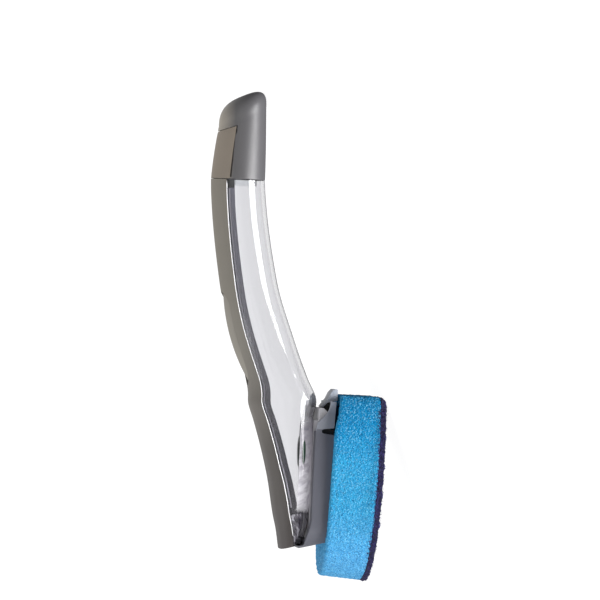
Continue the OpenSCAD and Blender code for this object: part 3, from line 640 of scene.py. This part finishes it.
MAT = {
    # The second colour of each clear plastic is painted shade at its edges.
    "clear": clear("clear_reservoir", (0.845, 0.845, 0.862, 1), (0.30, 0.285, 0.32, 1), foot_walls_and_glow=pale_foot),
    "clear_neck": clear("clear_neck", (0.93, 0.94, 0.95, 1), (0.30, 0.30, 0.32, 1), 0.06),
    "rail": moulded("rail_plastic", srgb(182, 181, 186), 0.35, 0.08),
    "grip": moulded("soft_grip", srgb(124, 119, 112), 0.62, 0.06, 0.00005, GRIP_PAINTED_SHADE),
    "button": moulded("soft_button", srgb(113, 109, 101), 0.58, 0.06, 0.00005),
    "spine": moulded("spine_plastic", srgb(104, 101, 112), 0.32, 0.10, 0.00004, SPINE_PAINTED_SHADE),
    "band": moulded("spine_band", srgb(196, 194, 204), 0.30, 0.06),
    # Painted highlight: white strip along the clear shell's edge.
    "rim": moulded("rim_highlight_plastic", (0.93, 0.93, 0.94, 1), 0.18, 0.01),
    "black": moulded("dark_rubber", srgb(24, 24, 26), 0.55),
    "frame": moulded("inner_frame", srgb(70, 70, 76), 0.4),
    "cap": moulded("cap_plastic", srgb(98, 97, 100), 0.38, 0.05, 0.00004, CAP_DRIFT),
    "inlay": moulded("cap_inlay", srgb(113, 104, 93), 0.55, 0.07, 0.00005),
    "insert": moulded("cap_insert", srgb(60, 60, 64), 0.4),
    "nozzle": moulded("nozzle_plastic", srgb(168, 168, 170), 0.3),
    "valve": moulded("valve_rubber", srgb(36, 58, 50), 0.45),
    "retainer": moulded("valve_retainer", srgb(40, 62, 54), 0.4),
    "backing": moulded("foot_backing", srgb(236, 235, 240), 0.35, 0.12),
    "refill": moulded("refill_plastic", srgb(81, 82, 91), 0.42, 0.06),
    "latch": moulded("latch_plastic", srgb(116, 119, 128), 0.42, 0.06, 0.00004, LATCH_PAINTED_LIGHT),
    "dark": moulded("shadow_plastic", srgb(14, 14, 16), 0.8),
    "dots": moulded("scrub_dot", srgb(34, 34, 96), 0.4),
    "core": toe_material(),
    "foam": foam_material(),
    "scrub": scrub_material(),
    "fibre": moulded("scrub_fibre", srgb(26, 20, 84), 0.7, 0.3),
}

# Handle: clear shell and spine
LEVELS = levels(0, 14, LEVELS_TOE)[:-1] + levels(14, HANDLE_H, LEVELS_REST)
reservoir = shell("reservoir_shell", [front_ring(z, 0, WALL, wrap(z), SHELL_N) for z in LEVELS])
place(reservoir, "handle", MAT["clear"], "clear_shell", "reservoir")

# The spine is placed when the button's well is cut out of it
spine = shell("spine_shell", [back_ring(z, SPINE_OFF, SPINE_OFF + SPINE_T, wrap(z) + lap(z), SPINE_N)
                              for z in LEVELS])
for name, z0, z1 in (("spine_base", 0.4, 2.4), ("chamber_floor", FLOOR_Z - 2, FLOOR_Z)):
    disc = loft(name, [full_ring(z, SPINE_OFF + 0.2, DISC_N) for z in (z0, z1)])
    place(disc, "handle", MAT["spine"], "spine")


def crumple(z):
    """Level of the toe's core, drawn in unevenly."""
    ring = []
    for x, y, h in full_ring(z, SPINE_OFF + 0.5, CORE_N):
        k = abs(noise.noise(Vector((x * 0.22, y * 0.12, h * 0.16 + 5))))
        ring.append((x - 1.1 * k - 0.2, y * (1 - 0.10 * k), h))
    return ring


core = loft("toe_core", [crumple(z) for z in levels(2.6, FLOOR_Z - 2.2, 14)], 24)
place(core, "handle", MAT["core"], "spine")


def side_line(side, off, dx, zs):
    """Line along one side of the handle, dx in front of the grip's edge."""
    line = [outline_point(z, off, angle_at(z, off, wrap(z) + dx)) for z in zs]
    return [(x, side * abs(y), z) for x, y, z in line]


def side_strip(name, side, zs, dx, off):
    """Thin strip behind the clear wall, between both dx in front of the grip's edge."""
    corners = ((STRIP_OFF, dx[0]), (STRIP_OFF, dx[1]), (off, dx[1]), (off, dx[0]))
    return loft(name, list(zip(*(side_line(side, o, x, zs) for o, x in corners))))


# Light line on the spine, a white strip along the clear shell's edge that is a painted highlight,
# and dark block at the seam's end
for side in (-1, 1):
    bead = side_strip(f"spine_bead_{side + 1}", side, levels(*BEAD_Z, 90), BEAD_DX, BEAD_OFF)
    place(bead, "handle", MAT["band"], "spine")
    rim = tube(f"shell_rim_highlight_{side + 1}", side_line(side, EDGE_OFF, EDGE_DX, levels(*EDGE_Z, 110)), EDGE_R)
    place(rim, "handle", MAT["rim"], "clear_shell")
    block = side_strip(f"seam_block_{side + 1}", side, levels(*BLOCK_Z, 4), BLOCK_DX, BLOCK_OFF)
    place(block, "handle", MAT["black"], "spine")

# Thin pale liner on the inner face of the foot's front wall
x0, x1 = -WALL - 0.25, -WALL - 0.1
corners = ((x0, -BACKING_HALF), (x1, -BACKING_HALF), (x1, BACKING_HALF), (x0, BACKING_HALF))
backing = loft("foot_backing", [[(front(z) + dx, y, z) for dx, y in corners] for z in levels(*BACKING_Z, 12)])
place(backing, "handle", MAT["backing"], "clear_shell")

# Handle: soft grip and button
BACK_SLOPE = (back(BUTTON_Z + 5) - back(BUTTON_Z - 5)) / 10
BUTTON_TURN = (Matrix.Translation((back(BUTTON_Z), 0, BUTTON_Z))
               @ Matrix.Rotation(math.atan(BACK_SLOPE), 4, "Y"))


def at_button(x, y, z):
    """Point of the button's own frame in the wand frame."""
    return tuple(BUTTON_TURN @ Vector((x, y, z)))


def stadium(w, l, straight=0):
    """Points (y, z) round a stadium, with that many steps along each straight side."""
    r, h = w / 2, (l - w) / 2
    pts = []
    for k, end in ((0, h), (1, -h)):
        turn = [math.pi * (k + i / HALF_TURN) for i in range(HALF_TURN + 1)]
        pts += [(r * math.cos(a), end + r * math.sin(a)) for a in turn]
        pts += [(r if k else -r, end - 2 * end * i / straight) for i in range(1, straight)]
    return pts


def button_hole(name, x0, x1):
    """Cutter with the button's outline and its running clearance."""
    outline = stadium(BUTTON_W + 2 * RUN, BUTTON_LEN + 2 * RUN)
    return loft(name, [[at_button(x, y, z) for y, z in outline] for x in (x0, x1)])


grip = shell("grip_skin", [back_ring(z, 0, WALL, wrap(z) - 0.1, SHELL_N) for z in LEVELS])
cut(grip, button_hole("opening", -6, WALL + 1.6))
place(finish_mesh(grip, 32), "handle", MAT["grip"], "soft_grip", "grip_overmold")
cut(spine, button_hole("well", 0, SPINE_OFF + SPINE_T + 8))
place(finish_mesh(spine, 36), "handle", MAT["spine"], "spine", "back_spine")


def crown(y, z):
    """Height of the button's dome in its own frame, negative outwards."""
    along = CROWN_R - math.sqrt(CROWN_R**2 - (z + CROWN_DROP) ** 2)
    across = CROWN_ACROSS - math.sqrt(CROWN_ACROSS**2 - y * y)
    return along + across - BUTTON_RISE


def pad_ring(inset, drop):
    """Ring of the pad, set in and lowered from its dome, or the end of its skirt."""
    outline = stadium(BUTTON_W - 2 * inset, BUTTON_LEN - 2 * inset, HALF_TURN)
    return [at_button(SKIRT_X if drop is None else crown(y, z) + drop, y, z) for y, z in outline]


PAD_EDGE = ((0, None), (0, 1.0), (0.12, 0.55), (0.45, 0.2), (1.0, 0.03))
PAD_DOME = tuple((inset, 0) for inset in (1.8, 3.2, 5, 6.8, 8.3, 8.9))
pad = loft("button_pad", [pad_ring(*step) for step in PAD_EDGE + PAD_DOME], 50)
place(pad, "button", MAT["button"], "button", "dispense_button")


# Cap: f runs from 0 at its lower rim to 1 where the dome starts
def cap_half(low, high, f):
    return (low + (high - low) * f**CAP_EASE) / 2


def cap_point(f, off, t):
    d, w = cap_half(NECK_D, CAP_TOP_D, f) - off, cap_half(NECK_W, CAP_TOP_W, f) - off
    x = CAP_X0 + (DOME_X - CAP_X0) * f + d * math.cos(t)
    return (x, w * math.sin(t), CAP_Z0 + CAP_H * f + DOME_SLOPE * f * f * (x - DOME_X))


def cap_angle(f, off, dx):
    """Angle of the cap's point that lies dx in front of its back."""
    d = cap_half(NECK_D, CAP_TOP_D, f)
    return math.pi - math.acos(min(1, (d - dx) / (d - off)))


def cap_turns():
    return [2 * math.pi * i / CAP_N for i in range(CAP_N)]


def cap_ring(f, off):
    return [cap_point(f, off, t) for t in cap_turns()]


def stepped_ring(f):
    """Outside of the cap, set in behind the inlay's side edges."""
    a, off = cap_angle(f, 0, INLAY_WRAP), CAP_RIM_INSET if f == 0 else 0
    return [cap_point(f, INLAY_STEP if a < t < 2 * math.pi - a else off, t) for t in cap_turns()]


def dome_ring(degrees, off):
    a = math.radians(degrees)
    s = math.cos(a) ** DOME_POWER
    ring = []
    for t in cap_turns():
        x = DOME_X + (CAP_TOP_D / 2 - off) * s * math.cos(t)
        z = CAP_Z0 + CAP_H + DOME_SLOPE * (x - DOME_X) + (DOME_H - off) * math.sin(a) ** DOME_POWER
        ring.append((x, (CAP_TOP_W / 2 - off) * s * math.sin(t), z))
    return ring


# From the inside of the dome down to the rim and up the outside again
cap_rings = [dome_ring(a, CAP_WALL) for a in (88, 75, 60, 45, 30, 15)]
cap_rings += [cap_ring(f, CAP_WALL) for f in (1, 0.75, 0.5, 0.25, 0.01, 0)]
cap_rings += [stepped_ring(f) for f in (0, 0.008, 0.02) + tuple(0.05 + 0.845 * k / 16 for k in range(17))]
cap_rings += [cap_ring(f, 0) for f in (0.905, 0.93, 0.96, 1)]
cap_rings += [dome_ring(a, 0) for a in (2, 5, 9, 14, 20, 27, 35, 44, 53, 62, 71, 79, 86, 89)]
place(loft("cap_shell", cap_rings, 34), "cap", MAT["cap"], "cap_shell", "filler_cap")


def inlay_ring(k):
    """Section of the inlay at step k, drawn in a little at its ends."""
    f = levels(*INLAY_F, INLAY_N)[k]
    full = math.sin(math.pi * min(1, k / 2, (INLAY_N - k) / 2) / 2)
    off = 0.02 + INLAY_SINK[k >= INLAY_N / 2] * (1 - full)
    a, b = (cap_angle(f, o, INLAY_WRAP - INLAY_GAP) for o in (off, INLAY_T))
    outer = [cap_point(f, off, t) for t in levels(a, 2 * math.pi - a, INLAY_ARC)]
    inner = [cap_point(f, INLAY_T, t) for t in levels(2 * math.pi - b, b, INLAY_ARC)]
    return outer + inner


inlay = shell("cap_inlay_skin", [inlay_ring(k) for k in range(INLAY_N + 1)])
place(inlay, "cap", MAT["inlay"], "cap_inlay", "cap_grip_inlay")

# Refill: tray, latch, a thin skin at the hinge and dark sheets of painted shade in the slot and the wedge
place(cad_copy("refill_tray", "refill_base", 0.4), "refill", MAT["refill"], "refill_plastic", "refill_base")
place(cad_copy("latch_plate", "release_latch", 0.35), "latch", MAT["latch"], "latch_plastic", "release_latch")
SKINS_AND_SHADE_SHEETS = (
    # Dark sheets that stand for shade in the slot and in the wedge below the fin.
    ("slot_shade_sheet", "refill", "dark", (21.2, 21.5),
     ((0.6, 58), (10.1, 58), (10.1, 65.3), (8, 65.3), (8, 66.3), (0.6, 66.3))),
    ("hinge_skin", "refill", "refill", (23.58, 23.68),
     ((0.7, 63.4), (3.5, 63.4), (3.5, 65.4), (0.7, 65.4))),
    ("wedge_shade_sheet", "latch", "dark", (9.2, 9.9),
     ((4.9, 72), (9.6, 72), (9.6, 80), (7.5, 79.6), (4.9, 76.6))),
)
for side in (-1, 1):
    for name, body, key, ys, side_view in SKINS_AND_SHADE_SHEETS:
        sheet = plate(f"{name}_{side + 1}", side_view, *sorted(side * y for y in ys))
        place(sheet, body, MAT[key], f"{body}_plastic")

# Foam, whose back is set in behind the latch to leave room for its flex
foam = soft_copy("foam_pad", "foam_block", bevel=0.9, voxel=0.85, rough=0.34, scale=620, seed=3)
origin, ahead, upward = row(0, 0, 0), row_dir(1, 0, 0), row_dir(0, 0, 1)
for v in foam.data.vertices:
    x, z = ((v.co - origin).dot(axis) * METRE for axis in (ahead, upward))
    v.co += ahead * (between(z, *ROOM_Z) * between(ROOM_X - x, 0, ROOM_FADE) * ROOM / METRE)
place(foam, "refill", MAT["foam"], "foam", "foam_block")

# Scrub layer
web = soft_copy("scrub_web", "scrub_pad", bevel=0.25, voxel=0.5, rough=0.6, scale=800, seed=11)
for v in web.data.vertices:
    v.co -= ahead * (WEB_INSET / METRE)
place(web, "refill", MAT["scrub"], "scrub", "scrub_pad")

# Domed dots on the scrub face, in rows from the toe to the heel
DOT_PROFILE = ((1.0, -0.4), (1.0, 0.35), (0.9, 0.62), (0.66, 0.78), (0.3, 0.84))
points, faces = [], []


def dot(y, z):
    a = math.asin((z - CROWN_Z) / FACE_R)
    turn = (Matrix.Translation((FACE_CX + FACE_R * math.cos(a), y, z))
            @ Matrix.Rotation(math.pi / 2 - a, 4, "Y"))
    first, last = len(points), (len(DOT_PROFILE) - 1) * DOT_SIDES
    for share, h in DOT_PROFILE:
        for q in range(DOT_SIDES):
            b = 2 * math.pi * q / DOT_SIDES
            points.append(tuple(turn @ Vector((DOT_D / 2 * share * math.cos(b),
                                               DOT_D / 2 * share * math.sin(b), h))))
    faces.extend(wall_faces(DOT_SIDES, len(DOT_PROFILE), first))
    faces.append(tuple(first + last + q for q in range(DOT_SIDES)))
    faces.append(tuple(first + DOT_SIDES - 1 - q for q in range(DOT_SIDES)))


margin, row_step = DOT_D / 2 + 3, DOT_PITCH * math.sqrt(0.75)
for i in range(int((HEEL_Z - TOE_Z - 2 * margin - HEEL_R) / row_step) + 1):
    z = TOE_Z + margin + PAD_T + i * row_step
    low = max(0, TOE_ARC_Z - z)
    half = math.sqrt(max(0, (FOAM_TOE_R - margin) ** 2 - low * low)) if low > 0 else FOAM_W / 2 - margin
    for k in range(-7, 8):
        y = (k + (i % 2) / 2) * DOT_PITCH
        if abs(y) <= half:
            dot(y, z)
dots = from_points("dot_domes", points, faces, 50)
place(dots, "refill", MAT["dots"], "dots", "scrub_dots")

# Loose fibres along the rim of the scrub layer
rng = random.Random(7)
points, faces = [], []


def fibre(p, d, length, width):
    """Bent, tapered fibre from p along d, unless it would reach the ground."""
    p, d = Vector(p), Vector(d).normalized()
    side = d.orthogonal().normalized() * width
    other = d.cross(side)
    bend = Vector((rng.uniform(-1, 1), rng.uniform(-1, 1), rng.uniform(-1, 1))) * 0.35 * length
    first = len(points)
    if min(row(*(p + d * (length * t) + bend * t * t)).z for t in (0, 0.5, 1)) < GROUND_GAP / METRE:
        return
    for t, s in ((0, 1), (0.5, 0.8), (1, 0.15)):
        c = p + d * (length * t) + bend * t * t
        for v in (side, other * 0.9 - side * 0.5, -other * 0.9 - side * 0.5):
            points.append(tuple(c + v * s))
    faces.extend(wall_faces(3, 3, first))
    faces.append((first + 2, first + 1, first))
    faces.append((first + 6, first + 7, first + 8))


def rim_point(u):
    """Point and outward direction on the rim of the scrub face, u from 0 to 1."""
    straight = RIM_TOP - TOE_ARC_Z
    curve = math.pi * FOAM_TOE_R
    s = u * (2 * straight + curve)
    w = FOAM_W / 2
    if s < straight:
        z = RIM_TOP - s
        return (w - 0.6 if z < TOE_ARC_Z + 6 else w), z, (0.2, 1, 0)
    if s < straight + curve:
        a = (s - straight) / FOAM_TOE_R
        across, up = math.cos(a), math.sin(a)
        return FOAM_TOE_R * across, TOE_ARC_Z - FOAM_TOE_R * up, (0.2, across, -up)
    return -w, TOE_ARC_Z + (s - straight - curve), (0.2, -1, 0)


for _ in range(FIBRES):
    y, z, d = rim_point(rng.random())
    inward = rng.uniform(0.1, PAD_T + 1.3)
    a = math.asin(max(-1, min(1, (z - CROWN_Z) / FACE_R)))
    x = FACE_CX + (FACE_R - inward) * math.cos(a)
    if inward > PAD_T - 0.4:
        d = (rng.uniform(-0.9, 0.4), 0.12 * d[1], rng.uniform(-1, 1))
        spread, thin, thick = 1.002, 0.1, 0.24
    else:
        d = (d[0] + rng.uniform(-0.5, 0.9), d[1] + rng.uniform(-0.5, 0.5), d[2] + rng.uniform(-0.5, 0.5))
        spread, thin, thick = 0.985, 0.06, 0.13
    fibre((x, y * spread, z), d, rng.uniform(0.5, 1.3), rng.uniform(thin, thick))
place(from_points("scrub_fibres", points, faces, 60), "refill", MAT["fibre"], "scrub")

# Materials of the carried-over nodes
for node, key in (("pump_membrane", "black"), ("button_frame", "frame"), ("neck_collar", "clear_neck"),
                  ("cap_insert", "insert"), ("cap_seal", "black"), ("foot_rail", "rail"),
                  ("outlet_nozzle", "nozzle"), ("slit_valve", "valve"), ("valve_retainer", "retainer")):
    for material_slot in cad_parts[node].material_slots:
        material_slot.material = MAT[key]

# Floor, a light table: it looks white, but the lamps and the sky light the object
FLOOR_HALF = 14.0
floor_mesh = bpy.data.meshes.new("floor")
floor_mesh.from_pydata([(x * FLOOR_HALF, y * FLOOR_HALF, 0) for x, y in ((-1, -1), (1, -1), (1, 1), (-1, 1))],
                       [], [(0, 1, 2, 3)])
floor = new_object("floor", floor_mesh)
floor.data.materials.append(moulded("floor_paint", grey(0.06), 0.9, 0.002, 0.00001,
                                    Emission_Color=WHITE, Emission_Strength=0.95))
floor.visible_diffuse = floor.visible_glossy = floor.visible_shadow = False

# Sky, brighter above the horizon
world = bpy.data.worlds.new("studio")
world.use_nodes = True
sky_nodes, sky_links = world.node_tree.nodes, world.node_tree.links
split = sky_nodes.new("ShaderNodeSeparateXYZ")
fade = sky_nodes.new("ShaderNodeMapRange")
sky_links.new(sky_nodes.new("ShaderNodeTexCoord").outputs["Generated"], split.inputs[0])
sky_links.new(split.outputs["Z"], fade.inputs["Value"])
for key, value in (("From Min", -0.15), ("From Max", 0.15), ("To Min", 0.14), ("To Max", 0.80)):
    fade.inputs[key].default_value = value
sky_nodes["Background"].inputs["Color"].default_value = WHITE
sky_links.new(fade.outputs[0], sky_nodes["Background"].inputs["Strength"])
scene.world = world
scene.view_settings.view_transform = "Standard"


# Lamps
LIT_POINT = Vector((0, 0, 0.05))


def aimed(way):
    """Turn of a lamp that shines along a direction."""
    return Vector(way).to_track_quat("-Z", "Y").to_euler()


def area_lamp(name, size, energy, spot):
    """Square lamp that shines on the wand."""
    data = bpy.data.lights.new(name, "AREA")
    data.shape = "RECTANGLE"
    data.size = data.size_y = size
    data.energy = energy
    obj = new_object(name, data)
    obj.location = spot
    obj.rotation_euler = aimed(LIT_POINT - Vector(spot))


sun_data = bpy.data.lights.new("sun", "SUN")
sun_data.energy = 2.0
sun_data.angle = math.radians(70)
new_object("sun", sun_data).rotation_euler = aimed((0.25, 0.18, -1))
area_lamp("key", size=1.2, energy=4.5, spot=(-1.1, -1.5, 0.9))
area_lamp("side", size=0.6, energy=15, spot=LIT_POINT + row_dir(0.83, -0.56, 0) * 0.9)

# Camera at the photograph's viewing angle
YAW, ROLL = math.radians(6.3), math.radians(2.7)
DISTANCE, FRAME_W, SENSOR_W = 2.8, 0.324, 36
LOOK = row_dir(math.sin(YAW) * math.cos(ROLL), math.cos(YAW), math.sin(YAW) * math.sin(ROLL))
UP = row_dir(-math.sin(ROLL), 0, math.cos(ROLL))
RIGHT = LOOK.cross(UP).normalized()
camera_data = bpy.data.cameras.new("camera")
camera_data.sensor_width = SENSOR_W
camera_data.lens = SENSOR_W * DISTANCE / FRAME_W
camera_data.clip_end = 100
camera = new_object("camera", camera_data)
aim = row(-9.0, 0, 134.2)
camera.matrix_world = (Matrix.Translation(aim - LOOK * DISTANCE)
                       @ Matrix((RIGHT, UP, -LOOK)).transposed().to_4x4())
scene.camera = camera
